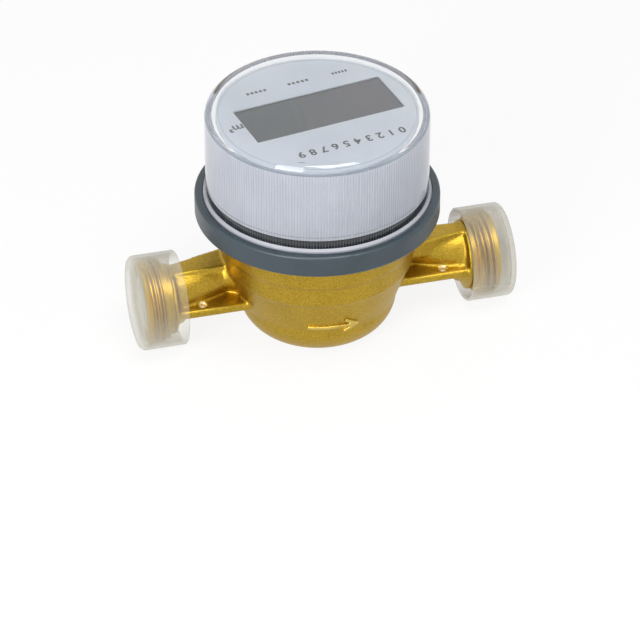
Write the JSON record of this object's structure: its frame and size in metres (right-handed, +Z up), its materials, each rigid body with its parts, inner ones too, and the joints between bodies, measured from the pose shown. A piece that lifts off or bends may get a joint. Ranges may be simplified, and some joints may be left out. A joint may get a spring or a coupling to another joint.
{
  "type": "water meter",
  "caption": "Single-jet brass water meter with a round clear-covered electronic register that turns, a grey lock ring, male pipe threads and pull-off thread caps.",
  "frame": {"origin": "centre of the bowl's flat foot, on the surface that the meter stands on", "axes": "+X along the pipe in the direction of flow, +Y across the pipe away from the seal-wire holes, +Z up along the bowl axis"},
  "size_m": [0.1161, 0.0736, 0.0762],
  "materials": {
    "brass_cast": "satin sand-cast",
    "brass_turned": "turned",
    "ring_plastic": "moulded satin",
    "clear_plastic": "clear, fluted wall",
    "white_plastic": "moulded",
    "black_plastic": "moulded",
    "dial_card": "printed plate",
    "display_glass": "grey display",
    "cap_plastic": "translucent",
    "acetal": "moulded",
    "plate_plastic": "moulded, fibre filled",
    "rubber_black": "matte",
    "steel": "turned",
    "shield_steel": "plain",
    "magnet": "pressed ferrite",
    "jewel": "polished",
    "board": "coated board",
    "chip": "moulded",
    "shield_can": "plain",
    "aerial": "plain",
    "cell_skin": "sleeved",
    "strip_rubber": "banded"
  },
  "bodies": {
    "meter": {"meter_body": "brass_cast", "inlet_end": "brass_turned", "outlet_end": "brass_turned", "inlet_strainer": "acetal", "pivot_pin": "steel", "separator_plate": "plate_plastic", "plate_seal": "rubber_black", "plate_clamp": "brass_turned", "shield_ring": "shield_steel", "lock_ring": "ring_plastic"},
    "impeller": {"impeller_wheel": "acetal", "impeller_spindle": "steel", "bearing_bush": "jewel", "drive_magnet": "magnet"},
    "register": {"register_base": "black_plastic", "register_seal": "rubber_black", "register_sleeve": "white_plastic", "circuit_board": "board", "board_screws": "steel", "controller_chip": "chip", "radio_module": "shield_can", "radio_antenna": "aerial", "flow_sensor": "board", "battery_cell": "cell_skin", "battery_tabs": "steel", "contact_strips": "strip_rubber", "display_frame": "white_plastic", "display_panel": "display_glass", "dial_plate": "dial_card", "clear_cover": "clear_plastic"},
    "inlet_cap": {"inlet_cap": "cap_plastic"},
    "outlet_cap": {"outlet_cap": "cap_plastic"}
  },
  "joints": [
    {"name": "impeller_spin", "type": "hinge", "parent": "meter", "child": "impeller", "pos_m": [0, 0, 0.0221], "axis": [0, 0, 1], "continuous": true},
    {"name": "register_swivel", "type": "hinge", "parent": "meter", "child": "register", "pos_m": [0, 0, 0.0438], "axis": [0, 0, 1], "continuous": true},
    {"name": "inlet_cap_pull", "type": "slide", "parent": "meter", "child": "inlet_cap", "axis": [-1, 0, 0], "range_m": [0, 0.03]},
    {"name": "outlet_cap_pull", "type": "slide", "parent": "meter", "child": "outlet_cap", "axis": [1, 0, 0], "range_m": [0, 0.03]}
  ]
}
